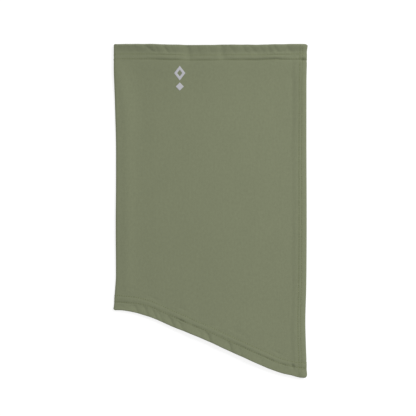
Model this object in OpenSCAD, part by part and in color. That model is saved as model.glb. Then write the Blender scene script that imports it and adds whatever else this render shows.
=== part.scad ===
// Neck gaiter, laid flat on its back.
//
// One panel of knit cloth makes the tube: it is folded at the left side and joined by
// an overlocked seam at the right side. The seam allowance is pressed to the front and
// topstitched in two rows. Both mouths are turned to the inside and held by a
// two-needle coverstitch. The neck hem is straight, the chest hem slants down to the
// seam side so that the longer side covers the chest.
//
// Axes: X across the tube, +Y towards the neck hem, +Z up from the face it rests on.

/* [Tube] */
// Width of the tube laid flat
flat_width = 240; // [200:1:290]
// Length down the seam, the longer side
seam_side_length = 415; // [260:1:520]
// Length down the fold, the shorter side
fold_side_length = 330; // [200:1:420]
// Height of the tube at its middle when it lies down
loft = 12; // [9:0.5:40]
// Outside radius of the cloth where it folds at each side
fold_radius = 3.2; // [3:0.1:6]
// Thickness of the knit cloth
cloth = 0.6; // [0.4:0.1:0.7]

/* [Hems] */
// Radius of the two bends of the slanting hem
hem_bend_radius = 120; // [60:5:160]
// Cloth turned to the inside at each mouth
hem_turn = 20; // [14:0.5:30]
// Edge of a mouth to the middle between its two needle rows
hem_rows_inset = 15.5; // [8:0.5:24]
// Spacing of the two needle rows
hem_gauge = 6; // [3:0.2:7]

/* [Side seam] */
// Width of the seam allowance inside the front
seam_allowance = 14; // [10:0.5:18]
// Side of the tube to the topstitching row nearer the seam
seam_row_inset = 5.8; // [4:0.1:8]
// Spacing of the two topstitching rows
seam_gauge = 3.3; // [2.5:0.1:5]
// Width of the overlock stitching on the raw edges
overlock_width = 4; // [2.5:0.5:6]

/* [Thread] */
// Distance from one stitch to the next
stitch_pitch = 3; // [2:0.1:5]
// Visible length of one stitch
stitch_length = 2.2; // [1:0.1:4]
// Width of the thread
thread_width = 0.5; // [0.3:0.05:0.8]
// Height of the thread, also the depth of its groove
thread_height = 0.3; // [0.2:0.05:0.4]

/* [Mark] */
// Left of the tube's middle to the middle of the mark
mark_offset = 38; // [0:1:80]
// Neck edge down to the middle of the mark
mark_drop = 43; // [30:1:120]
// Height of the upper rhombus
mark_height = 18; // [8:1:40]
// Width of the upper rhombus
mark_width = 14; // [6:1:30]
// Thickness of the transfer film
film = 0.2; // [0.1:0.05:0.4]

/* [Hidden] */
eps = 1;

half_width = flat_width / 2;
half_length = seam_side_length / 2;

// Cross-section: a flat back, a small round at each fold and a crowned front.
fold_x = half_width - fold_radius;
crown_radius = (pow(fold_x, 2) + pow(loft - fold_radius, 2) - pow(fold_radius, 2))
    / (2 * (loft - 2 * fold_radius));
crown_z = loft - crown_radius;
crown_lean = asin(fold_x / (crown_radius - fold_radius));

// Slanting hem: a bend at the fold side, a straight run and a bend at the seam side.
fold_end_y = half_length - fold_side_length;
hem_drop = seam_side_length - fold_side_length;
centre_rise = 2 * hem_bend_radius - hem_drop;
centre_gap = norm([flat_width, centre_rise]);
hem_slope = atan2(flat_width, centre_rise) - acos(2 * hem_bend_radius / centre_gap);
hem_run = sqrt(pow(centre_gap, 2) - pow(2 * hem_bend_radius, 2));

// Side seam rows and the edge of its allowance.
seam_row_outer = half_width - seam_row_inset;
seam_row_inner = seam_row_outer - seam_gauge;
allowance_x = half_width - seam_allowance;
overlock_x = allowance_x + overlock_width;

bend_steps = 16;
fold_steps = 16;
crown_steps = 32;
groove_width = thread_width + 0.2;
loop_skew = 14;
edge_gap = 0.15;
mark_gap = 2.5;
mark_foot = 10;

cloth_color = [0.44, 0.47, 0.36];
thread_color = [0.38, 0.41, 0.31];
looper_color = [0.50, 0.53, 0.42];
mark_color = [0.72, 0.72, 0.74];

// Point on the round of a fold; turn goes from 0 at the back layer to 1 at the front.
function fold_point(side, turn, depth) =
    let (angle = turn * (180 - crown_lean) - 90)
    [
        side * (fold_x + (fold_radius - depth) * cos(angle)),
        fold_radius + (fold_radius - depth) * sin(angle)
    ];

// Point on the crown; across goes from -1 at the fold side to 1 at the seam side.
function crown_point(across, depth) = [
    (crown_radius - depth) * sin(across * crown_lean),
    crown_z + (crown_radius - depth) * cos(across * crown_lean)
];

// Height of the front layer's outer face, or of a face the given depth below it.
function front_z(x, depth = 0) = crown_z + sqrt(pow(crown_radius - depth, 2) - x * x);

// Angle by which the front layer leans from level.
function front_lean(x) = asin(x / crown_radius);

// Length of a hem row from side to side, measured along the row.
function row_length(slanting) =
    slanting ? 2 * hem_bend_radius * hem_slope * PI / 180 + hem_run : flat_width;

// Point and slope on a hem row: s along the row from the fold side, inset from the mouth.
function straight_row(s, inset) = [s - half_width, half_length - inset, 0];

function fold_bend(angle, inset) = [
    (hem_bend_radius + inset) * sin(angle) - half_width,
    fold_end_y - hem_bend_radius + (hem_bend_radius + inset) * cos(angle),
    angle
];

function seam_bend(angle, inset) = [
    half_width - (hem_bend_radius - inset) * sin(angle),
    hem_bend_radius - half_length - (hem_bend_radius - inset) * cos(angle),
    angle
];

function run_point(along, inset) = [
    fold_bend(hem_slope, inset)[0] + along * cos(hem_slope),
    fold_bend(hem_slope, inset)[1] - along * sin(hem_slope),
    hem_slope
];

function slanting_row(s, inset) =
    let (
        bend_1 = (hem_bend_radius + inset) * hem_slope * PI / 180,
        left = row_length(true) - s,
        bend_2 = (hem_bend_radius - inset) * hem_slope * PI / 180
    )
    s < bend_1 ? fold_bend(s / (hem_bend_radius + inset) * 180 / PI, inset)
    : left < bend_2 ? seam_bend(left / (hem_bend_radius - inset) * 180 / PI, inset)
    : run_point(s - bend_1, inset);

function hem_xy(point) = [point[0], point[1]];

function hem_row(s, inset, slanting) =
    slanting ? slanting_row(s, inset) : straight_row(s, inset);

// Height of the slanting hem line above or below the middle, at one place across.
function chest_y(x, inset) =
    let (
        from_fold = x + half_width,
        to_seam = half_width - x,
        bend_1 = (hem_bend_radius + inset) * sin(hem_slope),
        bend_2 = (hem_bend_radius - inset) * sin(hem_slope)
    )
    from_fold < bend_1 ? fold_bend(asin(from_fold / (hem_bend_radius + inset)), inset)[1]
    : to_seam < bend_2 ? seam_bend(asin(to_seam / (hem_bend_radius - inset)), inset)[1]
    : fold_bend(hem_slope, inset)[1] - (from_fold - bend_1) * tan(hem_slope);

// ---- Flat shapes, seen from above -------------------------------------------------

// Everything above the slanting hem line, the given distance inside its edge.
module above_chest_hem(inset) {
    polygon(concat(
        [[-half_width - eps, half_length + eps], [-half_width - eps, fold_end_y + inset]],
        [for (i = [0 : bend_steps]) hem_xy(fold_bend(hem_slope * i / bend_steps, inset))],
        [for (i = [bend_steps : -1 : 0]) hem_xy(seam_bend(hem_slope * i / bend_steps, inset))],
        [[half_width + eps, inset - half_length], [half_width + eps, half_length + eps]]
    ));
}

// Everything below the straight hem line, the given distance inside its edge.
module below_neck_hem(inset) {
    translate([-half_width - eps, -half_length - eps])
        square([flat_width + 2 * eps, seam_side_length + eps - inset]);
}

module band(near, far, slanting) {
    difference() {
        if (slanting) above_chest_hem(near);
        else below_neck_hem(near);
        if (slanting) above_chest_hem(far);
        else below_neck_hem(far);
    }
}

// ---- Cross-sections ---------------------------------------------------------------

// The tube's outline, moved inwards by depth.
module section(depth) {
    polygon(concat(
        [for (i = [0 : fold_steps]) fold_point(1, i / fold_steps, depth)],
        [for (i = [1 : crown_steps - 1]) crown_point(1 - 2 * i / crown_steps, depth)],
        [for (i = [fold_steps : -1 : 0]) fold_point(-1, i / fold_steps, depth)]
    ));
}

module seam_zone() {
    translate([allowance_x, fold_radius])
        square([seam_allowance + eps, loft]);
}

// The space inside a wall of so many layers, with the two seam layers added at the side.
module hollow_section(layers) {
    difference() {
        section(layers * cloth);
        seam_zone();
    }
    intersection() {
        section((layers + 2) * cloth);
        seam_zone();
    }
}

module along_tube(extra = 0) {
    rotate([90, 0, 0])
        linear_extrude(height = seam_side_length + 2 * extra, center = true)
            children();
}

module standing(height = 2 * loft) {
    translate([0, 0, -eps])
        linear_extrude(height = height)
            children();
}

// ---- Grooves the threads lie in ---------------------------------------------------

module hem_groove(inset, slanting) {
    intersection() {
        along_tube(eps)
            difference() {
                section(-eps);
                section(thread_height);
            }
        standing()
            band(inset - groove_width / 2, inset + groove_width / 2, slanting);
    }
}

module hem_grooves() {
    for (slanting = [false, true])
        for (side = [-1, 1])
            hem_groove(hem_rows_inset + side * hem_gauge / 2, slanting);
}

module seam_grooves() {
    for (x = [seam_row_outer, seam_row_inner])
        translate([x, 0, front_z(x)])
            rotate([0, front_lean(x), 0])
                cube([groove_width, seam_side_length + 2 * eps, 2 * thread_height],
                    center = true);
}

// The line where the two edges of the panel meet, at the side of the tube.
module seam_line() {
    translate([half_width, 0, fold_radius])
        rotate([0, 45, 0])
            cube([cloth / 2, seam_side_length + 2 * eps, cloth / 2], center = true);
}

// ---- Stitches ---------------------------------------------------------------------

// One straight run of thread, its upper face at height 0.
module bar(length, width = thread_width) {
    translate([-length / 2, -width / 2, -thread_height])
        cube([length, width, thread_height]);
}

// Puts a stitch on the front layer, the given depth below its outer face.
module on_front(x, y, turn = 0, depth = 0) {
    translate([x, y, front_z(x, depth)])
        rotate([0, front_lean(x), 0])
            rotate([0, 0, turn])
                children();
}

// Puts a stitch on the back layer, the given depth inside its outer face.
module on_back(x, y, turn = 0, depth = 0) {
    translate([x, y, depth])
        rotate([0, 180, 0])
            rotate([0, 0, -turn])
                children();
}

// Puts a stitch on the round of a fold; angle 0 is its outermost line.
module on_fold(side, angle, y, depth = 0) {
    translate([side * fold_x, y, fold_radius])
        rotate([0, side * (90 - angle), 0])
            translate([0, 0, fold_radius - depth])
                children();
}

function stitch_count(slanting) =
    floor((row_length(slanting) - 2 * fold_radius) / stitch_pitch);

// Distance along the row to one of its stitches, the stitches being centred on it.
function stitch_place(i, slanting) =
    row_length(slanting) / 2 + (i - (stitch_count(slanting) - 1) / 2) * stitch_pitch;

// Height of a hem row where it goes round the tube's side.
function side_y(side, inset, slanting) =
    hem_row(side < 0 ? 0 : row_length(slanting), inset, slanting)[1];

// Needle thread: short stitches along a groove, right round the tube.
module hem_needle_row(inset, slanting) {
    for (i = [0 : stitch_count(slanting) - 1]) {
        p = hem_row(stitch_place(i, slanting), inset, slanting);
        on_front(p[0], p[1], -p[2]) bar(stitch_length);
        on_back(p[0], p[1], -p[2]) bar(stitch_length);
    }
    for (side = [-1, 1])
        for (angle = [-60, 0, 60])
            on_fold(side, angle, side_y(side, inset, slanting), thread_height / 2)
                bar(stitch_length / 2);
}

// Depth of the hem's inner face under the front, which is greater over the seam.
function hem_depth(x) = x > allowance_x ? 4 * cloth : 2 * cloth;

// Looper thread: it crosses between the two needle rows on the hem's inner face.
module hem_looper(slanting) {
    cross = hem_gauge / cos(loop_skew);
    for (i = [0 : stitch_count(slanting) - 1]) {
        p = hem_row(stitch_place(i, slanting), hem_rows_inset, slanting);
        if (abs(p[0] - allowance_x) > hem_gauge / 2)
            on_front(p[0], p[1], 90 + loop_skew - p[2], hem_depth(p[0])) bar(cross);
        on_back(p[0], p[1], 90 - loop_skew - p[2], 2 * cloth) bar(cross);
    }
    for (angle = [-50, 50]) {
        on_fold(-1, angle, side_y(-1, hem_rows_inset, slanting), 2 * cloth)
            rotate(90) bar(hem_gauge);
        on_fold(1, angle, side_y(1, hem_rows_inset, slanting), (angle < 0 ? 2 : 4) * cloth)
            rotate(90) bar(hem_gauge);
    }
}

// True where a seam stitch would meet a hem's needle thread.
function on_hem_row(x, y) =
    min([for (side = [-1, 1])
        let (inset = hem_rows_inset + side * hem_gauge / 2)
        min(abs(y - half_length + inset), abs(y - chest_y(x, inset)))
    ]) < stitch_pitch * 0.65;

// Topstitching through the front and both seam layers, from mouth to mouth.
module seam_needle_row(x) {
    for (y = [chest_y(x, 0) + stitch_pitch : stitch_pitch : half_length - stitch_pitch])
        if (!on_hem_row(x, y))
            on_front(x, y, 90) bar(stitch_length);
}

// Rows of stitches on the inner face of the seam allowance, between the two hems.
module on_allowance(x, turn = 0) {
    first = chest_y(x, hem_turn) + stitch_pitch;
    last = half_length - hem_turn - stitch_pitch;
    for (y = [first : stitch_pitch : last])
        on_front(x, y, turn, 3 * cloth) children();
}

// Overlock loop: along the allowance's face and round its raw edge.
module overlock_loop() {
    reach = overlock_width + thread_height + edge_gap;
    translate([-edge_gap / 2 - thread_height / 2, 0, 0])
        bar(reach);
    translate([-overlock_width / 2 - thread_height - edge_gap, -thread_width / 2, -thread_height])
        cube([thread_height, thread_width, 2 * cloth + thread_height]);
}

// ---- Mark -------------------------------------------------------------------------

module rhombus(width, height) {
    polygon([[0, height / 2], [width / 2, 0], [0, -height / 2], [-width / 2, 0]]);
}

// A thin film that follows the front of the cloth, cut to a flat shape.
module film_on_front(x, y) {
    intersection() {
        along_tube()
            difference() {
                section(-film);
                section(0);
            }
        translate([x, y, fold_radius])
            linear_extrude(height = 2 * loft)
                children();
    }
}

// ---- Pieces -----------------------------------------------------------------------

module body_panel() {
    color(cloth_color)
        difference() {
            intersection() {
                along_tube() section(0);
                standing() above_chest_hem(0);
            }
            along_tube(eps) hollow_section(2);
            intersection() {
                along_tube(eps) hollow_section(1);
                standing()
                    intersection() {
                        above_chest_hem(hem_turn);
                        below_neck_hem(hem_turn);
                    }
            }
            hem_grooves();
            seam_grooves();
            seam_line();
        }
}

module neck_hem_needle_thread_upper() {
    color(thread_color) hem_needle_row(hem_rows_inset - hem_gauge / 2, false);
}

module neck_hem_needle_thread_lower() {
    color(thread_color) hem_needle_row(hem_rows_inset + hem_gauge / 2, false);
}

module neck_hem_looper_thread() {
    color(looper_color) hem_looper(false);
}

module chest_hem_needle_thread_upper() {
    color(thread_color) hem_needle_row(hem_rows_inset + hem_gauge / 2, true);
}

module chest_hem_needle_thread_lower() {
    color(thread_color) hem_needle_row(hem_rows_inset - hem_gauge / 2, true);
}

module chest_hem_looper_thread() {
    color(looper_color) hem_looper(true);
}

module side_seam_topstitch_thread_outer() {
    color(thread_color) seam_needle_row(seam_row_outer);
}

module side_seam_topstitch_thread_inner() {
    color(thread_color) seam_needle_row(seam_row_inner);
}

module side_seam_topstitch_looper_thread() {
    color(looper_color)
        on_allowance(seam_row_outer - seam_gauge / 2, loop_skew) bar(seam_gauge);
}

module side_seam_overlock_needle_thread() {
    color(thread_color)
        on_allowance(overlock_x + thread_width * 0.6, 90) bar(stitch_length);
}

module side_seam_overlock_looper_thread() {
    color(looper_color)
        on_allowance(allowance_x + overlock_width / 2) overlock_loop();
}

module reflective_mark_upper() {
    color(mark_color)
        film_on_front(-mark_offset, half_length - mark_drop + (mark_foot + mark_gap) / 2)
            difference() {
                rhombus(mark_width, mark_height);
                rhombus(mark_width * 0.45, mark_height * 0.45);
            }
}

module reflective_mark_lower() {
    color(mark_color)
        film_on_front(-mark_offset, half_length - mark_drop - (mark_height + mark_gap) / 2)
            rhombus(mark_foot, mark_foot);
}

body_panel();
neck_hem_needle_thread_upper();
neck_hem_needle_thread_lower();
neck_hem_looper_thread();
chest_hem_needle_thread_upper();
chest_hem_needle_thread_lower();
chest_hem_looper_thread();
side_seam_topstitch_thread_outer();
side_seam_topstitch_thread_inner();
side_seam_topstitch_looper_thread();
side_seam_overlock_needle_thread();
side_seam_overlock_looper_thread();
reflective_mark_upper();
reflective_mark_lower();
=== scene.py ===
import math

import bpy
import numpy as np
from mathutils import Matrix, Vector


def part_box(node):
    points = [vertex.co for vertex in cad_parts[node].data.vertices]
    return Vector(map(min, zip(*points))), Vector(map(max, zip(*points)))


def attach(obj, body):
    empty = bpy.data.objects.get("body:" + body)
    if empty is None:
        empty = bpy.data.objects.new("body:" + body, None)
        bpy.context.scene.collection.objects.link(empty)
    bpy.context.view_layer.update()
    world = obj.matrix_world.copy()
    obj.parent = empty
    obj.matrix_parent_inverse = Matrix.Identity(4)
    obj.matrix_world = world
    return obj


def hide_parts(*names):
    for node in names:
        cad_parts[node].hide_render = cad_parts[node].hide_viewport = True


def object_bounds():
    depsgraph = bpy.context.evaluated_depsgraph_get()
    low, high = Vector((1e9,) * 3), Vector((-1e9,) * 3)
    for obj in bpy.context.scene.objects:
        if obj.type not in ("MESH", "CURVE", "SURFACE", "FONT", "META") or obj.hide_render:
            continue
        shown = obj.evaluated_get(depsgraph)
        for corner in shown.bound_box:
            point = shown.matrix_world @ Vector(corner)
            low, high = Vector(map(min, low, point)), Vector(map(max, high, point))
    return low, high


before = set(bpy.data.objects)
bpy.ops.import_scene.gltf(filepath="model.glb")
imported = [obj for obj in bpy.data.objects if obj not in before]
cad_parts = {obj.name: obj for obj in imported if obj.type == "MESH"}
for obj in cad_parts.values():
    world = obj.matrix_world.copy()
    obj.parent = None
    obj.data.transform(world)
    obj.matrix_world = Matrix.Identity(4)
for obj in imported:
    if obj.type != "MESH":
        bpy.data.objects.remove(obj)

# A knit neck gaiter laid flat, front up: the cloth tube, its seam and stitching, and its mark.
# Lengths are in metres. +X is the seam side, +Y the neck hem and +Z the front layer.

MM = 0.001
cad_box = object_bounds()


# ---- Measures, from the CAD model ---------------------------------------------------


def middle(name):
    low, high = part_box(name)
    return (low + high) / 2


body_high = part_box("body_panel")[1]
HALF_W, HALF_L, LOFT = body_high

# Distance of the two needle rows from the mouth's edge; both hems are sewn alike.
ROW_NEAR = HALF_L - middle("neck_hem_needle_thread_upper").y
ROW_FAR = HALF_L - middle("neck_hem_needle_thread_lower").y
ROW_MID = (ROW_NEAR + ROW_FAR) / 2
ROW_HALF_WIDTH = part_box("neck_hem_needle_thread_upper")[1].y - HALF_L + ROW_NEAR

# The fold side ends here; the seam side goes on down to -HALF_L.
FOLD_END_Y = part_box("chest_hem_needle_thread_lower")[1].y - ROW_NEAR - ROW_HALF_WIDTH
HEM_DROP = FOLD_END_Y + HALF_L

SEAM_ROW_OUTER = middle("side_seam_topstitch_thread_outer").x
SEAM_ROW_INNER = middle("side_seam_topstitch_thread_inner").x
OVERLOCK_ROW = middle("side_seam_overlock_needle_thread").x
ALLOWANCE_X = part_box("side_seam_overlock_looper_thread")[0].x

# Design values that no box gives.
FOLD_R = 3.2 * MM
HEM_BEND_R = 120 * MM
HEM_TURN = 20 * MM
CLOTH = 0.6 * MM
STITCH_PITCH = 3.0 * MM

# The visual threads' own sizes: length of a stitch, then width and height of each thread.
STITCH_LENGTH = 2.3 * MM
HEM_THREAD = (0.72 * MM, 0.50 * MM)
SEAM_THREAD = (0.66 * MM, 0.46 * MM)
LOOPER_THREAD = (0.42 * MM, 0.36 * MM)


# ---- Small shaping functions --------------------------------------------------------


def bump(t, centre, width):
    return np.exp(-(((t - centre) / width) ** 2))


def ramp(t, start, end):
    f = np.clip((t - start) / (end - start), 0, 1)
    return f * f * (3 - 2 * f)


def drift(t, *waves):
    """A slow wander along t: a sum of sines, each (wavelength, phase, height)."""
    return sum(h * np.sin(2 * np.pi * t / w + p) for w, p, h in waves)


# ---- The tube's cross-section -------------------------------------------------------


def section_table(step=0.25 * MM):
    """Arc length, place and outward normal round the tube, from the middle of the front."""
    fold_x = HALF_W - FOLD_R
    crown_r = (fold_x**2 + (LOFT - FOLD_R) ** 2 - FOLD_R**2) / (2 * (LOFT - 2 * FOLD_R))
    lean = math.asin(fold_x / (crown_r - FOLD_R))

    def arc(cx, cz, r, start, end):
        n = max(3, int(r * abs(end - start) / step))
        a = np.linspace(start, end, n, endpoint=False)
        return np.stack([cx + r * np.sin(a), cz + r * np.cos(a), np.sin(a), np.cos(a)], 1)

    n = int(2 * fold_x / step)
    x = np.linspace(fold_x, -fold_x, n, endpoint=False)
    back = np.stack([x, 0 * x, 0 * x, 0 * x - 1], 1)
    rows = np.concatenate([
        arc(0, LOFT - crown_r, crown_r, 0, lean),
        arc(fold_x, FOLD_R, FOLD_R, lean, math.pi),
        back,
        arc(-fold_x, FOLD_R, FOLD_R, math.pi, 2 * math.pi - lean),
        arc(0, LOFT - crown_r, crown_r, -lean, 0),
    ])
    gaps = np.linalg.norm(np.roll(rows[:, :2], -1, 0) - rows[:, :2], axis=1)
    return np.concatenate([[0], np.cumsum(gaps)[:-1]]), rows, gaps.sum()


SECTION_S, SECTION, GIRTH = section_table()


def section(u):
    """x, z and normal at arc length u round the tube; u is 0 at the middle of the front."""
    return [np.interp(u, SECTION_S, SECTION[:, i], period=GIRTH) for i in range(4)]


def loft_share(d_neck):
    """The neck hem springs open; from there the tube lies flatter towards the chest."""
    settled = 0.30 * ramp(d_neck, 6 * MM, 85 * MM) + 0.10 * ramp(d_neck, 190 * MM, 380 * MM)
    return 1 - settled - drift(d_neck, (150 * MM, 0.8, 0.02), (67 * MM, 2.2, 0.01))


FOLD_U = SECTION_S[np.argmax(SECTION[:, 0])]
_front_u = np.linspace(-FOLD_U, FOLD_U, 4001)
_front_x = section(_front_u)[0]


def front_u(x):
    return np.interp(x, _front_x, _front_u)


# ---- Outline of the mouths ----------------------------------------------------------


def chest_line():
    """Slope of the slanting hem's straight run, and where its two bends end."""
    rise = 2 * HEM_BEND_R - HEM_DROP
    gap = math.hypot(2 * HALF_W, rise)
    slope = math.atan2(2 * HALF_W, rise) - math.acos(2 * HEM_BEND_R / gap)
    return slope, HEM_BEND_R * math.sin(slope)


CHEST_SLOPE, BEND_X = chest_line()


def chest_edge(x):
    """Height of the chest hem's edge, and its slope, at x across."""
    x = np.clip(x, -HALF_W, HALF_W)
    left, right = x + HALF_W, HALF_W - x
    drop = HEM_BEND_R * (1 - math.cos(CHEST_SLOPE))
    run = FOLD_END_Y - drop - (left - BEND_X) * math.tan(CHEST_SLOPE)
    near_fold = FOLD_END_Y - HEM_BEND_R + np.sqrt(HEM_BEND_R**2 - np.minimum(left, BEND_X) ** 2)
    near_seam = HEM_BEND_R - HALF_L - np.sqrt(HEM_BEND_R**2 - np.minimum(right, BEND_X) ** 2)
    y = np.where(left < BEND_X, near_fold, np.where(right < BEND_X, near_seam, run))
    lean = np.minimum(np.minimum(left, right) / HEM_BEND_R, math.sin(CHEST_SLOPE))
    return y, np.arcsin(lean)


def corner(x, radius, side):
    """How far a mouth's edge is rounded off next to a folded side, -1 or 1."""
    return radius * np.clip((side * x - HALF_W + radius) / radius, 0, 1) ** 3


def chest_wander(x):
    """The slanting edge rises a little over the crown, and strays where it is sewn."""
    lift = 2.1 * ramp(x, -62 * MM, -4 * MM) * (1 - 0.9 * ramp(x, HALF_W - 22 * MM, HALF_W - 4 * MM))
    droop = -1.1 * (1 - ramp(x, -86 * MM, -56 * MM)) - 0.42 * ramp(x, -66 * MM, -40 * MM)
    stray = drift(x, (95 * MM, 2.2, 0.14), (37 * MM, 0.9, 0.10), (19 * MM, 0.3, 0.05))
    rounded = corner(x, 3.4 * MM, 1) * 0.7 + corner(x, 2.0 * MM, -1) * 0.5
    return (lift + droop + stray) * MM + rounded


def neck_edge(x):
    """Height of the neck hem's edge: it dips a little where the cloth is pinched."""
    dip = 1.3 * bump(x, -14 * MM, 38 * MM) + 0.7 * bump(x, 50 * MM, 30 * MM)
    dip = dip + 0.75 * bump(x, -4 * MM, 78 * MM) + 0.35 * bump(x, 84 * MM, 18 * MM)
    dip = dip + 0.35 * bump(x, -54 * MM, 17 * MM) + 0.25 * bump(x, 58 * MM, 18 * MM)
    stray = 0.12 * (1 + drift(x, (29 * MM, 1.1, 0.6), (17 * MM, 0.2, 0.4)))
    rounded = corner(x, 2.2 * MM, 1) * 0.5 + corner(x, 2.0 * MM, -1) * 0.5
    return HALF_L - (dip + stray) * MM - rounded


def back_set(u):
    """How far the back layer's mouths stand back from the front's."""
    return 0.7 * MM * ramp(np.abs(u), FOLD_U, FOLD_U + 12 * MM)


def chest_stray(x, d):
    """The hem's stray at a distance d inside its edge: less at the rows, which sag by the fold."""
    sag = 1.9 * (1 - ramp(x, -106 * MM, -84 * MM)) + 1.0 * (1 - ramp(x, -20 * MM, -6 * MM))
    sag = sag * MM * ramp(d, 0, ROW_NEAR) * (1 - 0.8 * ramp(d, ROW_NEAR, ROW_FAR + 2 * MM))
    return chest_wander(x) * (1 - 0.7 * ramp(d, 0, 12 * MM)) - sag


def chest_y(u, d):
    """Height at a distance d inside the chest hem's edge."""
    x = section(u)[0]
    y, slope = chest_edge(x)
    return y + chest_stray(x, d) + back_set(u) + d / np.cos(slope)


def neck_y(u, d):
    return neck_edge(section(u)[0]) - back_set(u) - d


def hem_distances(u, y):
    """Distance inside the chest edge, found by repeated trial, and inside the neck edge."""
    x = section(u)[0]
    base, slope = chest_edge(x)
    rise = y - base - back_set(u)
    guess = rise * np.cos(slope)
    for _ in range(7):
        guess = (rise - chest_stray(x, guess)) * np.cos(slope)
    return guess, neck_y(u, 0) - y


# ---- Relief of the cloth ------------------------------------------------------------

# Heights are written in millimetres here. patches and valley give them back as they are, and
# the functions that shape the cloth turn them into metres before they return.


def patches(x, *places):
    """Rises along x, each (centre, half width, height), with all three in millimetres."""
    return sum(height * bump(x, centre * MM, width * MM) for centre, width, height in places)


def neck_hem_relief(x, d):
    """The straight hem: a proud edge that falls to the near row, the welt, then a step down."""
    fall = 1.50 + patches(x, (-85, 30, 0.45), (-8, 30, -0.70), (46, 14, 0.35), (90, 22, 0.60))
    lip = fall * ramp(d, 0, 1.4 * MM) * (1 - ramp(d, 1.0 * MM, 9.6 * MM))
    lip = lip + patches(x, (-104, 17, 0.45)) * ramp(d, 0, 1.4 * MM) * (1 - ramp(d, 1.6 * MM, 4.4 * MM))
    welt = 0.20 * bump(d, ROW_MID - 1.4 * MM, 2.4 * MM)
    near = patches(x, (-67, 9, 0.60), (86, 16, 0.50)) * (1 - ramp(d, 10.0 * MM, 14.5 * MM))
    groove = 0.16 + patches(x, (-60, 15, 0.35), (84, 14, 0.45))
    near = near - groove * bump(d, ROW_NEAR + 0.2 * MM, 0.85 * MM)
    high = 0.50 + patches(x, (-54, 18, 0.55), (-12, 12, 0.35), (28, 9, 0.60), (52, 14, 0.90),
                          (79, 14, 1.00), (-32, 4, -0.40), (12, 2.5, -0.40))
    high = high * (0.35 + 0.65 * ramp(x, -98 * MM, -68 * MM)) * (1 - 0.25 * ramp(x, 88 * MM, 101 * MM))
    line = ROW_FAR + (0.7 * ramp(x, 86 * MM, 104 * MM) - 0.4 * bump(x, 76 * MM, 16 * MM)) * MM
    step = high * (1 - ramp(d, line - 2.6 * MM, line + 1.1 * MM))
    far = -(0.16 + 0.48 * high) * bump(d, line + 0.4 * MM, 0.9 * MM)
    rise = (lip + welt + near + step + far) * MM
    return rise * ramp(x + HALF_W, 0.5 * MM, 11 * MM)


def chest_hem_relief(x, d):
    """The slanting hem: its fold, an uneven crease at the lower row, then the welt."""
    fold = 0.65 + patches(x, (-20, 22, 0.30), (70, 25, -0.25))
    fold = fold * ramp(d, 0, 1.2 * MM) * (1 - ramp(d, 1.0 * MM, 11 * MM))
    lip = patches(x, (-111, 15, 0.95), (-18, 16, 0.40))
    fold = fold + lip * ramp(d, 0, 1.2 * MM) * (1 - ramp(d, 1.3 * MM, 5.2 * MM))
    step = 0.36 * (1 - ramp(d, ROW_FAR - 0.9 * MM, ROW_FAR + 1.8 * MM))
    welt = 0.30 * bump(d, ROW_MID + 0.2 * MM, 2.0 * MM)
    depth = 0.24 + patches(
        x, (-109, 11, 0.45), (-70, 6, 0.45), (-42, 7, 0.40), (-35.5, 4.5, 1.30), (-18, 6, 0.60),
        (41, 8, 0.60), (60, 4, 0.55), (70, 5, 0.60), (77, 3, 0.75), (91, 3, 0.85))
    crease = -depth * bump(d, ROW_NEAR - 0.3 * MM, 1.0 * MM)
    far = -0.20 * bump(d, ROW_FAR, 0.8 * MM)
    return (fold + step + welt + crease + far) * MM


# Gathers in the fold zone of each hem, in millimetres. For each one: where it crosses 6 mm
# inside the edge, how far it leans sideways per millimetre inwards, the widths of its left
# and right shoulders, and its depth.
NECK_GATHERS = (
    (-92.5, 0.6, 3.0, 2.2, 0.22), (-75.5, 1.5, 3.0, 2.8, 1.00), (-66.5, 0.4, 2.0, 1.8, 0.55),
    (-55.0, 0.7, 2.6, 2.4, 1.00), (-47.0, 0.5, 2.2, 2.2, 0.45), (-15.0, 0.3, 2.4, 2.0, 0.50),
    (-0.2, 0.6, 2.4, 2.4, 0.36), (26.6, 0.8, 2.4, 2.2, 0.66), (42.4, 0.5, 3.4, 2.8, 0.85),
    (52.6, 1.0, 3.4, 3.0, 0.85), (63.0, 0.6, 2.4, 2.4, 0.55), (72.8, 0.3, 2.8, 2.4, 0.90),
    (81.0, 0.9, 3.0, 3.0, 0.80), (89.0, 0.6, 3.0, 3.0, 0.45), (96.6, 0.8, 3.4, 3.4, 1.05),
)
CHEST_GATHERS = (
    (-93.0, -0.6, 3.0, 2.4, 0.80), (-80.2, -0.5, 2.8, 2.4, 1.05), (-69.5, -0.55, 2.6, 2.0, 1.20),
    (-62.4, -0.6, 2.0, 2.2, 0.75), (-48.4, -0.6, 2.8, 2.2, 1.10), (-37.0, -0.6, 2.8, 3.4, 1.15),
    (-13.0, -0.5, 2.4, 2.4, 0.45), (-2.0, -0.4, 3.0, 2.0, 1.50), (24.8, -0.3, 3.0, 2.0, 1.25),
    (37.3, -0.4, 3.0, 2.2, 0.40), (62.8, -0.3, 3.0, 4.0, 0.55), (106.2, -0.6, 2.2, 2.4, 0.30),
)
# Two pinches of the straight hem: place, lean, and the depth of the long fall before each.
NECK_PINCHES = ((-27.2, 0.14, 1.8), (15.0, 0.14, 1.5))


def valley(t, left, right):
    """A crease of depth 1: a sharp bottom at t = 0 between soft shoulders."""
    width = np.where(t < 0, left, right)
    return np.exp(0.3 - np.sqrt((t / width) ** 2 + 0.09))


def gathers(x, d, creases, near, far, fade=4 * MM):
    """Slanting creases across a hem's fold zone."""
    reach = ramp(d, -near, near) * (1 - ramp(d, far - fade, far))
    total = 0
    for place, lean, left, right, depth in creases:
        across = x - place * MM - lean * (d - 6 * MM)
        total = total - depth * valley(across, left * MM, right * MM)
    return total * reach * MM


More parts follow.
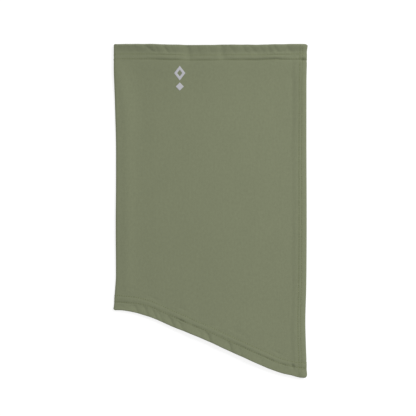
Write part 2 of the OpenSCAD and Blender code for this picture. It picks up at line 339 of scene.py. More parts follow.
def pinches(x, d):
    """Two places where the straight hem falls to the right, then springs back."""
    total = 0
    for place, lean, depth in NECK_PINCHES:
        across = x - place * MM - lean * (d - 6 * MM)
        fall = ramp(across, -7.5 * MM, 1.0 * MM)
        spring = 0.46 * ramp(across, -0.6 * MM, 5.0 * MM) + 0.54 * ramp(across, 3 * MM, 26 * MM)
        total = total - depth * (fall - spring)
    return total * ramp(d, 0, 2.5 * MM) * (1 - ramp(d, 11 * MM, 25 * MM)) * MM


def mouth_wave(x, d):
    """The open mouth's front edge waves gently up and down."""
    return drift(x, (76 * MM, 0.6, 0.42), (43 * MM, 2.0, 0.20)) * bump(d, 0, 32 * MM) * MM


def seam_relief(x, y, d_mouth):
    """The seam allowance under the front, and the topstitching pressed into it."""
    clear = 0.25 + 0.75 * ramp(d_mouth, HEM_TURN - 5 * MM, HEM_TURN + 4 * MM)
    edge = ALLOWANCE_X + drift(y, (120 * MM, 0.7, 0.5 * MM), (47 * MM, 0.1, 0.3 * MM))
    raised = 0.66 * ramp(x, edge - 4.6 * MM, edge + 2.2 * MM) * clear
    dip = -0.08 * (1 + drift(y, (150 * MM, 1.9, 0.8))) * bump(x, edge - 3.4 * MM, 3.4 * MM) * clear
    pull = 1 + drift(y, (31 * MM, 0.6, 0.25), (13 * MM, 0.2, 0.15))
    inner = -0.17 * pull * bump(x, SEAM_ROW_INNER, 0.85 * MM)
    outer = -0.17 * pull * bump(x, SEAM_ROW_OUTER, 0.85 * MM)
    between = 0.12 * bump(x, (SEAM_ROW_INNER + SEAM_ROW_OUTER) / 2, 0.9 * MM)
    rim = 0.60 * ramp(x, HALF_W - 40 * MM, SEAM_ROW_OUTER) * (1 - ramp(x, SEAM_ROW_OUTER, HALF_W))
    return (raised + dip + inner + outer + between + rim) * MM


def fold_roll(x, y):
    """The soft roll along the folded side, and the hollow beside it."""
    from_neck = HALF_L - y
    crest = -HALF_W + (3 + 12 * ramp(from_neck, 10 * MM, 90 * MM)) * MM
    roll = 0.80 * bump(x, crest, 7.5 * MM)
    hollow = -0.52 * bump(x, crest + 18 * MM, 13 * MM)
    return (roll + hollow) * MM


def swell(x, y):
    """Broad, shallow swells over the whole front."""
    a = drift(x + 0.25 * y, (170 * MM, 0.5, 0.22), (83 * MM, 2.1, 0.08))
    b = drift(y - 0.3 * x, (230 * MM, 1.2, 0.60), (97 * MM, 0.2, 0.11), (53 * MM, 2.6, 0.04))
    return (a + b) * MM


def hollow_below_hem(x, d_neck):
    """The front sinks below the straight hem and comes up again towards its middle."""
    sink = ramp(d_neck, ROW_FAR, 46 * MM) * (1 - ramp(d_neck, 52 * MM, 180 * MM))
    return -(1.25 - 0.5 * bump(x, 0, 30 * MM)) * sink * ramp(x + HALF_W, 4 * MM, 40 * MM) * MM


def pulls(x, d_chest):
    """Short level dents where the chest hem tugs the cloth above it."""
    dents = 0
    for place, up, size in (
            (-97, 27, 5), (-70, 23, 7), (-36, 25, 6), (34, 26, 9), (58, 30, 5), (84, 24, 6)):
        dents = dents - 0.42 * bump(x, place * MM, size * MM) * bump(d_chest, up * MM, 1.6 * MM)
    return dents * MM


def corner_bulk(x, d):
    """Where the slanting hem is turned over the seam allowance the cloth is lumpy."""
    lump = 0.85 * bump(x, HALF_W - 6 * MM, 3.6 * MM) * bump(d, 4.5 * MM, 3.6 * MM)
    notch = -1.60 * bump(x, HALF_W - 17.5 * MM, 2.2 * MM) * bump(d, ROW_NEAR + 0.5 * MM, 2.6 * MM)
    nip = -0.90 * bump(x, HALF_W - 3.0 * MM, 2.0 * MM) * bump(d, ROW_NEAR - 2.5 * MM, 2.2 * MM)
    return (lump + notch + nip) * MM


def seam_end(x, d):
    """Where the straight hem covers the seam: a lump at its edge, a nip at its far row."""
    lump = 0.35 * bump(x, HALF_W - 6 * MM, 3.6 * MM) * bump(d, 4.5 * MM, 3.6 * MM)
    nip = -2.10 * bump(x, HALF_W - 5.0 * MM, 3.8 * MM) * bump(d, ROW_FAR + 1.0 * MM, 1.8 * MM)
    return (lump + nip) * MM


def front_relief(x, y, d_chest, d_neck):
    """The front layer's rise: broad swells, the seam, and all that the two hems add."""
    flattened = ramp(-d_chest, -40 * MM, -18 * MM) + ramp(-d_neck, -40 * MM, -18 * MM)
    soft = swell(x, y) + fold_roll(x, y) * (1 - 0.8 * flattened) + hollow_below_hem(x, d_neck)
    soft = soft * ramp(HALF_W - x, 0, 20 * MM)
    rise = seam_relief(x, y, np.minimum(d_chest, d_neck)) + soft + pulls(x, d_chest)
    rise = rise + neck_hem_relief(x, d_neck) + chest_hem_relief(x, d_chest)
    rise = rise + gathers(x, d_neck, NECK_GATHERS, 2.5 * MM, 12.5 * MM)
    rise = rise + pinches(x, d_neck)
    rise = rise + gathers(x, d_chest, CHEST_GATHERS, 1.0 * MM, 12.5 * MM)
    rise = rise + mouth_wave(x, d_neck) + 0.8 * mouth_wave(x + 30 * MM, d_chest)
    return rise + corner_bulk(x, d_chest) + seam_end(x, d_neck)


def back_relief(x, y, d_chest, d_neck):
    """The back layer lies on the floor, so its rows and ripples only press inwards."""
    rows = 0
    for d in (d_chest, d_neck):
        rows = rows + 0.30 * (bump(d, ROW_NEAR, 0.9 * MM) + bump(d, ROW_FAR, 0.9 * MM))
    ripple = 0.16 * (1.6 + drift(x + 0.4 * y, (61 * MM, 0.4, 0.9), (29 * MM, 1.2, 0.7)))
    return -(rows + ripple) * MM


def relief(u, y):
    """Outward movement of the outer face from the plain section."""
    x, _, _, nz = section(u)
    d_chest, d_neck = hem_distances(u, y)
    front = ramp(nz, -0.3, 0.8)
    back = ramp(-nz, -0.3, 0.9)
    return (front * front_relief(x, y, d_chest, d_neck)
            + back * back_relief(x, y, d_chest, d_neck))


def side_shift(x, y, d_chest):
    """The tube is a little narrower between its hems, and the seam's rows stand further in."""
    from_neck = HALF_L - y
    in_from_fold = 2.5 * ramp(from_neck, 18 * MM, 140 * MM) * ramp(d_chest, 2 * MM, 46 * MM)
    in_from_seam = 0.6 * ramp(from_neck, 18 * MM, 48 * MM) - 0.45 * bump(from_neck, 215 * MM, 80 * MM)
    in_from_seam = (in_from_seam + 1.2 * bump(from_neck, 345 * MM, 32 * MM)) * ramp(
        d_chest, 1 * MM, 40 * MM)
    left = ramp(-x, 55 * MM, HALF_W) * in_from_fold
    right = ramp(x, 55 * MM, HALF_W) * in_from_seam
    rows = 0.8 * ramp(from_neck, 60 * MM, 160 * MM) * bump(x, 111 * MM, 7 * MM)
    return (left - right - rows) * MM


def thickness(u, y):
    """Cloth between the outer and inner face: more layers in the hems and the seam."""
    x, _, _, nz = section(u)
    d_chest, d_neck = hem_distances(u, y)
    hem = 1 - ramp(np.minimum(d_chest, d_neck), HEM_TURN - 0.3 * MM, HEM_TURN + 0.3 * MM)
    seam = ramp(x, ALLOWANCE_X - 0.2 * MM, ALLOWANCE_X + 0.4 * MM) * ramp(nz, -0.1, 0.4)
    return CLOTH * (1 + 1.1 * hem + 1.6 * seam)


def cloth_point(u, y, depth=0.0):
    """Place on the cloth at u round the tube and height y, depth below its outer face."""
    x, z, nx, nz = section(u)
    d_chest, d_neck = hem_distances(u, y)
    out = relief(u, y) - depth
    shift = side_shift(x, y, d_chest)
    z = z * loft_share(d_neck)
    return np.stack([x + nx * out + shift, y + 0 * x, z + nz * out], -1)


def cloth_normal(u):
    """Outward normal of the tube's plain section."""
    _, _, nx, nz = section(u)
    return np.stack([nx, 0 * nx, nz], -1)


# ---- Mesh helpers -------------------------------------------------------------------


def new_mesh(name, points, faces, material, smooth=True):
    mesh = bpy.data.meshes.new(name)
    mesh.from_pydata([tuple(p) for p in points], [], [tuple(f) for f in faces])
    mesh.update()
    if smooth:
        mesh.polygons.foreach_set("use_smooth", [True] * len(mesh.polygons))
    mesh.materials.append(material)
    obj = bpy.data.objects.new(name, mesh)
    bpy.context.scene.collection.objects.link(obj)
    return obj


def add_piece(obj, slot, *nodes):
    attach(obj, "root")
    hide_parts(*nodes)
    return obj


def grid_faces(rows, cols, wrap_rows, wrap_cols):
    """Quads between the points of a grid, closed round on itself where asked."""
    r = np.arange(rows if wrap_rows else rows - 1)
    c = np.arange(cols if wrap_cols else cols - 1)
    r, c = np.meshgrid(r, c, indexing="ij")
    r2, c2 = (r + 1) % rows, (c + 1) % cols
    quads = np.stack([r * cols + c, r * cols + c2, r2 * cols + c2, r2 * cols + c], -1)
    return quads.reshape(-1, 4)


def thread_mesh(node_name, runs, size, material, sides=6):
    """Round threads swept along runs, each (points, normals, closed), in place of a CAD node."""
    width, height = size
    points, faces, base = [], [], 0
    turn = np.linspace(0, 2 * np.pi, sides, endpoint=False)
    for line, normal, closed in runs:
        n = len(line)
        ahead = np.roll(line, -1, 0) - np.roll(line, 1, 0)
        if not closed:
            ahead[0], ahead[-1] = line[1] - line[0], line[-1] - line[-2]
        ahead /= np.linalg.norm(ahead, axis=1, keepdims=True)
        side = np.cross(ahead, normal)
        side /= np.linalg.norm(side, axis=1, keepdims=True)
        up = np.cross(side, ahead)
        ring = (line[:, None] + side[:, None] * (np.cos(turn) * width / 2)[None, :, None]
                + up[:, None] * (np.sin(turn) * height / 2)[None, :, None])
        points.append(ring.reshape(-1, 3))
        faces += (grid_faces(n, sides, closed, True) + base).tolist()
        if not closed:
            faces.append(list(range(base, base + sides)))
            faces.append(list(range(base + n * sides - 1, base + (n - 1) * sides - 1, -1)))
        base += n * sides
    name = node_name.replace("thread", "stitches")
    return new_mesh(name, np.concatenate(points), faces, material)


# ---- The cloth ----------------------------------------------------------------------


def spread(start, end, step):
    return np.linspace(start, end, max(2, int(round((end - start) / step))), endpoint=False)


def column_places():
    """Where the cloth's columns stand round the tube, closest together at the seam."""
    seam_start = FOLD_U - 22 * MM
    return np.concatenate([
        spread(-GIRTH / 2, -FOLD_U - 6 * MM, 2.6 * MM),
        spread(-FOLD_U - 6 * MM, -FOLD_U + 6 * MM, 0.7 * MM),
        spread(-FOLD_U + 6 * MM, seam_start, 1.15 * MM),
        spread(seam_start, FOLD_U + 4 * MM, 0.5 * MM),
        spread(FOLD_U + 4 * MM, GIRTH / 2, 2.6 * MM),
    ])


# How far in the closely spaced rows of points reach, and half the thickness of a hem's edge.
HEM_ZONE = 26 * MM
EDGE_R = 1.05 * CLOTH


def hem_y(hem, u, d):
    return chest_y(u, d) if hem == "chest" else neck_y(u, d)


def cloth_rows(u):
    """Rows of (height, depth) from the chest edge up the outer face and down the inner."""
    low, high = chest_y(u, HEM_ZONE), neck_y(u, HEM_ZONE)
    fine = np.append(spread(EDGE_R, HEM_ZONE, 0.62 * MM), HEM_ZONE)
    coarse = np.array([0.63, 2, 5, 8, 11, 14, 17, 19.5, 20.5, 26]) * MM
    edge = np.linspace(0, math.pi, 6)[1:-1]
    rows = [(chest_y(u, d), 0 * u) for d in fine]
    rows += [(low + (high - low) * f, 0 * u) for f in np.linspace(0, 1, 90)[1:-1]]
    rows += [(neck_y(u, d), 0 * u) for d in fine[::-1]]
    rows += [(neck_y(u, EDGE_R * (1 - math.sin(a))), EDGE_R * (1 - math.cos(a)) + 0 * u) for a in edge]
    rows += [(neck_y(u, d), thickness(u, neck_y(u, d))) for d in coarse]
    rows += [(y, thickness(u, y)) for y in (high + (low - high) * f for f in np.linspace(0, 1, 32)[1:-1])]
    rows += [(chest_y(u, d), thickness(u, chest_y(u, d))) for d in coarse[::-1]]
    rows += [(chest_y(u, EDGE_R * (1 - math.sin(a))), EDGE_R * (1 + math.cos(a)) + 0 * u) for a in edge]
    return rows


def add_map(mesh, name, a, b, turn):
    """Lays a pair of values on the mesh as a map; a grows by turn once round, if turn is finite."""
    layer = mesh.uv_layers.new(name=name)
    index = np.zeros(len(mesh.loops), int)
    mesh.loops.foreach_get("vertex_index", index)
    flat = np.stack([a[index], b[index]], 1)
    corners = a[index].reshape(-1, 4)
    wrap = np.repeat((corners.max(1) - corners.min(1)) > turn / 2, 4)
    flat[wrap & (flat[:, 0] < (a.min() + a.max()) / 2), 0] += turn
    layer.data.foreach_set("uv", flat.ravel())


def add_cloth_maps(mesh, u, y):
    """The cloth's flat place, and the stitch counts that its needle holes follow."""
    x = section(u)[0]
    add_map(mesh, "cloth", u / MM, y / MM, GIRTH / MM)
    for hem, d in zip(("chest", "neck"), hem_distances(u, y)):
        add_map(mesh, hem, stitch_number(hem, u), d / MM, HEM_COUNTS[hem][1][-1])
    side = np.where(section(u)[3] > 0, x, 0) / MM
    add_map(mesh, "seam", (HALF_L - y) / STITCH_PITCH, side, math.inf)


def make_cloth(material):
    """The whole tube as one closed skin: outer face, edges and inner face."""
    u = column_places()
    rows = cloth_rows(u)
    y = np.stack([r[0] for r in rows])
    depth = np.stack([r[1] for r in rows])
    uu = np.broadcast_to(u, y.shape)
    points = cloth_point(uu, y, depth).reshape(-1, 3)
    faces = grid_faces(len(rows), len(u), True, True)
    cloth = new_mesh("cloth_tube", points, faces, material)
    add_cloth_maps(cloth.data, uu.ravel(), y.ravel())
    return add_piece(cloth, "knit_cloth", "body_panel")


# ---- Stitching ----------------------------------------------------------------------

# A coverstitch's needles sew side by side, so both rows of a hem share one count of
# stitches. It is worked out once, along the line midway between the rows.


def hem_count(hem, samples=4000):
    """Stitch number along a hem, from 0 at the middle of the back, right round the tube."""
    u = np.linspace(-GIRTH / 2, GIRTH / 2, samples)
    line = cloth_point(u, hem_y(hem, u, ROW_MID))
    s = np.concatenate([[0], np.cumsum(np.linalg.norm(np.diff(line, axis=0), axis=1))])
    return u, s / s[-1] * int(s[-1] / STITCH_PITCH)


HEM_COUNTS = {hem: hem_count(hem) for hem in ("neck", "chest")}


def stitch_number(hem, u):
    return np.interp(u, *HEM_COUNTS[hem])


def stitch_place(hem, number):
    u, count = HEM_COUNTS[hem]
    return np.interp(number, count, u)


def stitch_run(point, normal, number, proud=0.12 * MM):
    """One stitch: point and normal give places by stitch number; its ends dive in."""
    across = np.array([-0.5, -0.38, -0.17, 0.17, 0.38, 0.5]) * STITCH_LENGTH / STITCH_PITCH
    sink = np.array([-0.45, -0.04, 0.03, 0.03, -0.04, -0.45]) * MM + proud
    at = number + 0.5 + across
    return point(at) + normal(at) * sink[:, None], normal(at), False


def needle_thread(name, hem, d, material):
    """A row of stitches a distance d inside a hem's edge, right round the tube."""
    def point(number):
        u = stitch_place(hem, number)
        return cloth_point(u, hem_y(hem, u, d))

    def normal(number):
        return cloth_normal(stitch_place(hem, number))

    total = int(round(HEM_COUNTS[hem][1][-1]))
    runs = [stitch_run(point, normal, k) for k in range(total)]
    piece = thread_mesh(name, runs, HEM_THREAD, material)
    return add_piece(piece, "needle_thread", name)


def inner_point(u, y, lift=0.16 * MM):
    """Place on the cloth's inner face, standing off it by lift."""
    return cloth_point(u, y, thickness(u, y) + lift)


def hem_looper(name, hem, material):
    """The looper thread on the inner face, swinging from row to row."""
    total = int(round(HEM_COUNTS[hem][1][-1]))
    k = np.arange(total * 4)
    swing = np.array([-1, -0.35, 1, 0.35])[k % 4] * (ROW_FAR - ROW_NEAR) / 2
    u = stitch_place(hem, (k + 0.35 * (k % 2)) / 4)
    points = inner_point(u, hem_y(hem, u, ROW_MID + swing))
    piece = thread_mesh(name, [(points, -cloth_normal(u), True)], LOOPER_THREAD, material, 5)
    return add_piece(piece, "looper_thread", name)


def seam_y(number):
    """Height of a stitch of the side seam, counted down from the neck edge."""
    return HALF_L - number * STITCH_PITCH


def seam_numbers(x, margin):
    """The stitches of the side seam that lie between the mouths, margin inside them."""
    u = front_u(x)
    first = math.ceil((HALF_L - neck_y(u, margin)) / STITCH_PITCH)
    last = math.floor((HALF_L - chest_y(u, margin)) / STITCH_PITCH)
    return np.arange(first, last)


def seam_row(name, x, margin, material, inside=False):
    """A row of stitches along the side seam, on the outer or the inner face."""
    u = float(front_u(x))
    sign = -1 if inside else 1

    def point(number):
        at = 0 * number + u
        y = seam_y(number)
        return cloth_point(at, y, thickness(at, y) if inside else 0)

    def normal(number):
        return sign * cloth_normal(0 * number + u)

    runs = [stitch_run(point, normal, k) for k in seam_numbers(x, margin)]
    piece = thread_mesh(name, runs, SEAM_THREAD, material)
    return add_piece(piece, "needle_thread", name)


def seam_looper(name, low_x, high_x, material):
    """A looper thread between two lines on the inner face of the seam allowance."""
    numbers = seam_numbers(high_x, HEM_TURN + 2 * MM)
    k = np.arange(len(numbers) * 4)
    x = np.where(k % 4 < 2, low_x, high_x) + np.where(k % 2, 0.15, -0.15) * (high_x - low_x)
    u, y = front_u(x), seam_y(numbers[0] + k / 4)
    run = (inner_point(u, y), -cloth_normal(u), False)
    piece = thread_mesh(name, [run], LOOPER_THREAD, material, 5)
    return add_piece(piece, "looper_thread", name)


def make_stitching(needle, looper):
    pieces = []
    for hem, near, far in (("neck", "upper", "lower"), ("chest", "lower", "upper")):
        pieces.append(needle_thread(f"{hem}_hem_needle_thread_{near}", hem, ROW_NEAR, needle))
        pieces.append(needle_thread(f"{hem}_hem_needle_thread_{far}", hem, ROW_FAR, needle))
        pieces.append(hem_looper(f"{hem}_hem_looper_thread", hem, looper))
    pieces.append(seam_row("side_seam_topstitch_thread_outer", SEAM_ROW_OUTER, 1.5 * MM, needle))
    pieces.append(seam_row("side_seam_topstitch_thread_inner", SEAM_ROW_INNER, 1.5 * MM, needle))
    pieces.append(seam_looper(
        "side_seam_topstitch_looper_thread", SEAM_ROW_INNER, SEAM_ROW_OUTER, looper))
    pieces.append(seam_looper(
        "side_seam_overlock_looper_thread", ALLOWANCE_X, OVERLOCK_ROW, looper))
    pieces.append(seam_row(
        "side_seam_overlock_needle_thread", OVERLOCK_ROW, HEM_TURN + 2 * MM, needle, True))
    return pieces


# ---- The mark -----------------------------------------------------------------------


def film_mesh(name, plan, ring, material):
    """A thin film laid on the front; plan is a grid of x, y places, closed on itself if ring."""
    lift, sink = 0.14 * MM, -0.10 * MM
    rows, cols = plan.shape[:2]
    u = front_u(plan[..., 0])
    normal = cloth_normal(u)
    face = cloth_point(u, plan[..., 1])
    top, under = face + normal * lift, face + normal * sink
    points = np.concatenate([top.reshape(-1, 3), under.reshape(-1, 3)])
    over = grid_faces(rows, cols, False, ring)
    faces = over.tolist() + (over[:, ::-1] + rows * cols).tolist()
    index = np.arange(rows * cols).reshape(rows, cols)
    rims = [index[0], index[-1][::-1]] if ring else [
        np.concatenate([index[0], index[1:, -1], index[-1, -2::-1], index[-2:0:-1, 0]])]
    for rim in rims:
        after = np.roll(rim, -1)
        for a, b in zip(rim, after):
            faces.append([int(b), int(a), int(a) + rows * cols, int(b) + rows * cols])
    return new_mesh(name, points, faces, material)


def rhombus_rim(centre, half_w, half_h, steps=14):
    """Points round a rhombus, clockwise from its top."""
    corners = np.array([[0, half_h], [half_w, 0], [0, -half_h], [-half_w, 0]])
    f = np.linspace(0, 1, steps, endpoint=False)[:, None]
    sides = [corners[i] * (1 - f) + corners[(i + 1) % 4] * f for i in range(4)]
    return np.concatenate(sides) + np.array([centre.x, centre.y])


def make_mark(material):
    """An open rhombus above a small solid one."""
    low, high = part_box("reflective_mark_upper")
    centre, size = (low + high) / 2, (high - low) / 2
    outer = rhombus_rim(centre, size.x, size.y)
    inner = rhombus_rim(centre, size.x * 0.45, size.y * 0.45)
    f = np.linspace(0, 1, 6)[:, None, None]
    ring = film_mesh("mark_film_upper", outer * (1 - f) + inner * f, True, material)
    low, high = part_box("reflective_mark_lower")
    centre, size = (low + high) / 2, (high - low) / 2
    a, b = np.meshgrid(np.linspace(-1, 1, 13), np.linspace(-1, 1, 13), indexing="ij")
    plan = np.stack([centre.x + (a + b) / 2 * size.x, centre.y + (b - a) / 2 * size.y], -1)
    dot = film_mesh("mark_film_lower", plan[:, ::-1], False, material)
    add_piece(ring, "reflective_film", "reflective_mark_upper")
    add_piece(dot, "reflective_film", "reflective_mark_lower")
    return [ring, dot]


# ---- Materials ----------------------------------------------------------------------


def linear(r, g, b):
    """Scene colour from display values of 0 to 255."""
    def one(v):
        v /= 255
        return v / 12.92 if v <= 0.04045 else ((v + 0.055) / 1.055) ** 2.4
    return (one(r), one(g), one(b), 1)


def new_material(name, roughness, sheen=0.0, sheen_roughness=0.5):
    material = bpy.data.materials.new(name)
    material.use_nodes = True
    shader = material.node_tree.nodes["Principled BSDF"]
    shader.inputs["Roughness"].default_value = roughness
    shader.inputs["Specular IOR Level"].default_value = 0.3
    shader.inputs["Sheen Weight"].default_value = sheen
    shader.inputs["Sheen Roughness"].default_value = sheen_roughness
    return material, material.node_tree, shader


def node(tree, kind, **values):
    made = tree.nodes.new(kind)
    for key, value in values.items():
        if key in made.inputs:
            made.inputs[key].default_value = value
        else:
            setattr(made, key, value)
    return made


def math_node(tree, operation, a, b):
    made = tree.nodes.new("ShaderNodeMath")
    made.operation = operation
    for i, value in enumerate((a, b)):
        if isinstance(value, (int, float)):
            made.inputs[i].default_value = value
        else:
            tree.links.new(value, made.inputs[i])
    return made.outputs[0]


def scaled(tree, vector, x, y):
    made = node(tree, "ShaderNodeMapping")
    made.inputs["Scale"].default_value = (x, y, 1)
    tree.links.new(vector, made.inputs["Vector"])
    return made.outputs["Vector"]


def noise(tree, vector, scale, detail=2.0, roughness=0.5):
    made = node(tree, "ShaderNodeTexNoise", Scale=scale, Detail=detail, Roughness=roughness)
    tree.links.new(vector, made.inputs["Vector"])
    return made.outputs["Fac"]


WAVE_PERIOD = 2 * math.pi / 20  # of Blender's wave texture at a scale of 1


def bands(tree, vector, direction, period, distortion=0.0):
    """Soft bands whose period is in the map's own millimetres."""
    made = node(tree, "ShaderNodeTexWave", Scale=WAVE_PERIOD / period, Distortion=distortion)
    made.bands_direction = direction
    tree.links.new(vector, made.inputs["Vector"])
    return made.outputs["Fac"]


def ramp_colour(tree, factor, *stops):
    made = tree.nodes.new("ShaderNodeValToRGB")
    while len(made.color_ramp.elements) < len(stops):
        made.color_ramp.elements.new(0.5)
    for element, (place, colour) in zip(made.color_ramp.elements, stops):
        element.position = place
        element.color = colour
    tree.links.new(factor, made.inputs["Fac"])
    return made.outputs["Color"]


def shade(colour, factor):
    return tuple(c * factor for c in colour[:3]) + (1,)


CLOTH_COLOUR = linear(113.4, 118.5, 93.5)
THREAD_COLOUR = linear(119, 125, 91)
FILM_COLOUR = linear(170, 170, 175)

# How fast the painted shade in a needle hole fades: per stitch along its row, and per millimetre across
# it.
HOLE_FADE_ALONG = 5.0
HOLE_FADE_ACROSS = 1.5


def needle_hole_shade(tree, map_name, rows):
    """Painted shade: dark dots in the needle holes, at whole numbers along each row of stitches."""
    where = node(tree, "ShaderNodeUVMap", uv_map=map_name).outputs["UV"]
    parts = node(tree, "ShaderNodeSeparateXYZ")
    tree.links.new(where, parts.inputs["Vector"])
    along = math_node(tree, "ADD", parts.outputs["X"], 0.5)
    along = math_node(tree, "ABSOLUTE", math_node(
        tree, "SUBTRACT", math_node(tree, "FRACT", along, 0.0), 0.5), 0.0)
    spot = math_node(
        tree, "SUBTRACT", 1.0, math_node(tree, "MULTIPLY", along, HOLE_FADE_ALONG))
    total = None
    for row in rows:
        off = math_node(tree, "ABSOLUTE", math_node(tree, "SUBTRACT", parts.outputs["Y"], row), 0.0)
        near = math_node(
            tree, "SUBTRACT", 1.0, math_node(tree, "MULTIPLY", off, HOLE_FADE_ACROSS))
        dot = math_node(tree, "MULTIPLY", math_node(tree, "MAXIMUM", near, 0.0),
                        math_node(tree, "MAXIMUM", spot, 0.0))
        total = dot if total is None else math_node(tree, "ADD", total, dot)
    return total


def darken(tree, colour, amount, depth):
    """Multiplies a colour down where amount is 1, to a share 1 - depth."""
    mix = tree.nodes.new("ShaderNodeMix")
    mix.data_type = "RGBA"
    mix.blend_type = "MULTIPLY"
    tree.links.new(amount, mix.inputs["Factor"])
    tree.links.new(colour, mix.inputs["A"])
    mix.inputs["B"].default_value = (1 - depth, 1 - depth, 1 - depth, 1)
    return mix.outputs["Result"]


def painted_fold_shade(tree):
    """1 along the straight hem's fold zone, where shade is painted into the colour, fading to 0 at its
    edge and near row.
    """
    where = node(tree, "ShaderNodeUVMap", uv_map="neck").outputs["UV"]
    parts = node(tree, "ShaderNodeSeparateXYZ")
    tree.links.new(where, parts.inputs["Vector"])
    shares = []
    for start, end in ((1.0, 4.0), (ROW_NEAR / MM, ROW_NEAR / MM - 4.5)):
        fade = node(tree, "ShaderNodeMapRange", interpolation_type="SMOOTHSTEP")
        fade.inputs["From Min"].default_value = start
        fade.inputs["From Max"].default_value = end
        tree.links.new(parts.outputs["Y"], fade.inputs["Value"])
        shares.append(fade.outputs["Result"])
    return math_node(tree, "MULTIPLY", *shares)


def cloth_material():
    """Fine matt jersey: upright wales, level courses, a soft mottle in the yarn, and painted shade in the
    needle holes and along the straight hem's fold.
    """
    material, tree, shader = new_material("olive_jersey", 0.88, 0.08, 0.45)
    where = node(tree, "ShaderNodeUVMap", uv_map="cloth").outputs["UV"]
    wale = bands(tree, where, "X", 0.75, 0.6)
    course = bands(tree, where, "Y", 0.60, 0.8)
    yarn = noise(tree, scaled(tree, where, 0.34, 0.26), 1.0, 3.0, 0.8)
    streak = noise(tree, scaled(tree, where, 0.50, 0.06), 1.0, 2.0, 0.6)
    patch = noise(tree, scaled(tree, where, 0.045, 0.02), 1.0, 2.0, 0.5)
    knit = math_node(tree, "ADD", math_node(tree, "MULTIPLY", wale, 0.6),
                     math_node(tree, "MULTIPLY", course, 0.4))
    tone = math_node(tree, "ADD", math_node(tree, "MULTIPLY", yarn, 0.55),
                     math_node(tree, "MULTIPLY", patch, 0.10))
    tone = math_node(tree, "ADD", tone, math_node(tree, "MULTIPLY", streak, 0.15))
    tone = math_node(tree, "ADD", tone, math_node(tree, "MULTIPLY", knit, 0.20))
    colour = ramp_colour(
        tree, tone, (0.2, shade(CLOTH_COLOUR, 0.83)), (0.8, shade(CLOTH_COLOUR, 1.17)))
    rows = (ROW_NEAR / MM, ROW_FAR / MM)
    hole_dents_and_shade = math_node(tree, "ADD", needle_hole_shade(tree, "neck", rows),
                      needle_hole_shade(tree, "chest", rows))
    seam_hole_shade = needle_hole_shade(tree, "seam", (SEAM_ROW_INNER / MM, SEAM_ROW_OUTER / MM))
    hole_dents_and_shade = math_node(tree, "ADD", hole_dents_and_shade, math_node(tree, "MULTIPLY", seam_hole_shade, 0.6))
    # Painted shade in the needle holes darkens the colour there; the same mask also dents the bump.
    colour = darken(tree, colour, math_node(tree, "MINIMUM", hole_dents_and_shade, 1.0), 0.55)
    # Painted shade: the straight hem's fold zone is darkened here.
    colour = darken(tree, colour, painted_fold_shade(tree), 0.075)
    tree.links.new(colour, shader.inputs["Base Color"])
    height = math_node(tree, "ADD", knit, math_node(tree, "MULTIPLY", yarn, 0.8))
    height = math_node(tree, "SUBTRACT", height, math_node(tree, "MULTIPLY", hole_dents_and_shade, 1.5))
    relief_node = node(tree, "ShaderNodeBump", Strength=0.5, Distance=0.00012)
    tree.links.new(height, relief_node.inputs["Height"])
    tree.links.new(relief_node.outputs["Normal"], shader.inputs["Normal"])
    return material


def thread_material(name, colour):
    """Twisted polyester thread with a faint lustre and small changes of tone."""
    material, tree, shader = new_material(name, 0.62, 0.10, 0.4)
    where = node(tree, "ShaderNodeTexCoord").outputs["Object"]
    tone = noise(tree, where, 900.0, 2.0)
    tree.links.new(ramp_colour(tree, tone, (0.3, shade(colour, 0.85)), (0.7, shade(colour, 1.15))),
                   shader.inputs["Base Color"])
    twist = node(tree, "ShaderNodeTexWave", Scale=900.0, Distortion=1.0)
    twist.bands_direction = "DIAGONAL"
    tree.links.new(where, twist.inputs["Vector"])
    relief_node = node(tree, "ShaderNodeBump", Strength=0.4, Distance=0.00008)
    tree.links.new(twist.outputs["Fac"], relief_node.inputs["Height"])
    tree.links.new(relief_node.outputs["Normal"], shader.inputs["Normal"])
    return material


def film_material():
    """Pale grey reflective transfer, faintly speckled by its glass beads."""
    material, tree, shader = new_material("reflective_film", 0.42)
    where = node(tree, "ShaderNodeTexCoord").outputs["Object"]
    grain = noise(tree, where, 2600.0, 1.0)
    colour = ramp_colour(
        tree, grain, (0.3, shade(FILM_COLOUR, 0.93)), (0.7, shade(FILM_COLOUR, 1.06)))
    tree.links.new(colour, shader.inputs["Base Color"])
    relief_node = node(tree, "ShaderNodeBump", Strength=0.25, Distance=0.00005)
    tree.links.new(grain, relief_node.inputs["Height"])
    tree.links.new(relief_node.outputs["Normal"], shader.inputs["Normal"])
    return material


# ---- Studio -------------------------------------------------------------------------


# SENSOR and LENS are in millimetres. The view is VIEW_WIDTH wide at the height CLOTH_TOP.
FLOOR_GLOW = 0.75
FLOOR_SIZE = 4.0
FLOOR_GAP = 0.02 * MM
AMBIENT = 0.70
KEY_POWER = 40.0
KEY_SIZE = 1.3
KEY_PLACE = (1.40, 1.05, 1.75)
LENS = 120
SENSOR = 36
VIEW_WIDTH = 0.5168
CAMERA_PLACE = (-2.9 * MM, 3.6 * MM)
CLOTH_TOP = 5 * MM


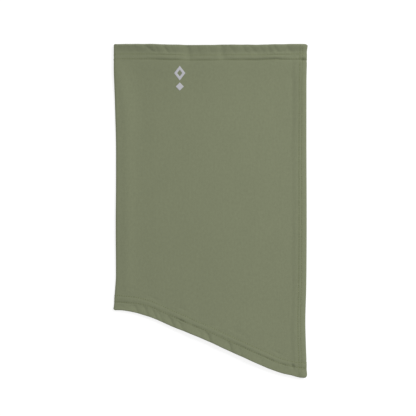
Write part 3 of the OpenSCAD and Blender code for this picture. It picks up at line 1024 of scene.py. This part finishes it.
def floor_material():
    """A pale table lit softly from within, so the object throws hardly any shadow on it."""
    material, tree, shader = new_material("pale_floor", 0.9)
    shader.inputs["Emission Color"].default_value = (1, 1, 1, 1)
    shader.inputs["Emission Strength"].default_value = FLOOR_GLOW
    where = node(tree, "ShaderNodeTexCoord").outputs["Object"]
    tone = noise(tree, where, 3.0, 2.0)
    tree.links.new(ramp_colour(tree, tone, (0, (0.29, 0.29, 0.29, 1)), (1, (0.31, 0.31, 0.31, 1))),
                   shader.inputs["Base Color"])
    return material


def make_floor():
    size = FLOOR_SIZE
    points = [(-size, -size, 0), (size, -size, 0), (size, size, 0), (-size, size, 0)]
    floor = new_mesh("floor", points, [(0, 1, 2, 3)], floor_material(), smooth=False)
    floor.location.z = cad_box[0][2] - FLOOR_GAP


def aim(obj, target):
    direction = Vector(target) - obj.location
    obj.rotation_euler = direction.to_track_quat("-Z", "Y").to_euler()


def make_light():
    """A white room, and one large soft light from the upper right."""
    world = bpy.data.worlds.new("studio")
    world.use_nodes = True
    world.node_tree.nodes["Background"].inputs["Color"].default_value = (1, 1, 1, 1)
    world.node_tree.nodes["Background"].inputs["Strength"].default_value = AMBIENT
    bpy.context.scene.world = world
    lamp = bpy.data.lights.new("key", "AREA")
    lamp.shape = "DISK"
    lamp.size = KEY_SIZE
    lamp.energy = KEY_POWER
    key = bpy.data.objects.new("key", lamp)
    key.location = KEY_PLACE
    bpy.context.scene.collection.objects.link(key)
    aim(key, (0, 0, 0))
    bpy.context.scene.view_settings.view_transform = "Standard"


def make_camera():
    """Straight above, through a long lens; the object sits just right of and below centre."""
    lens = bpy.data.cameras.new("camera")
    lens.sensor_width = SENSOR
    lens.lens = LENS
    camera = bpy.data.objects.new("camera", lens)
    camera.location = (*CAMERA_PLACE, VIEW_WIDTH * LENS / SENSOR + CLOTH_TOP)
    bpy.context.scene.collection.objects.link(camera)
    bpy.context.scene.camera = camera


# ---- The scene ----------------------------------------------------------------------


make_camera()
make_light()
make_floor()
cloth = make_cloth(cloth_material())
stitching = make_stitching(
    thread_material("needle_thread", THREAD_COLOUR), thread_material("looper_thread", THREAD_COLOUR))
mark = make_mark(film_material())
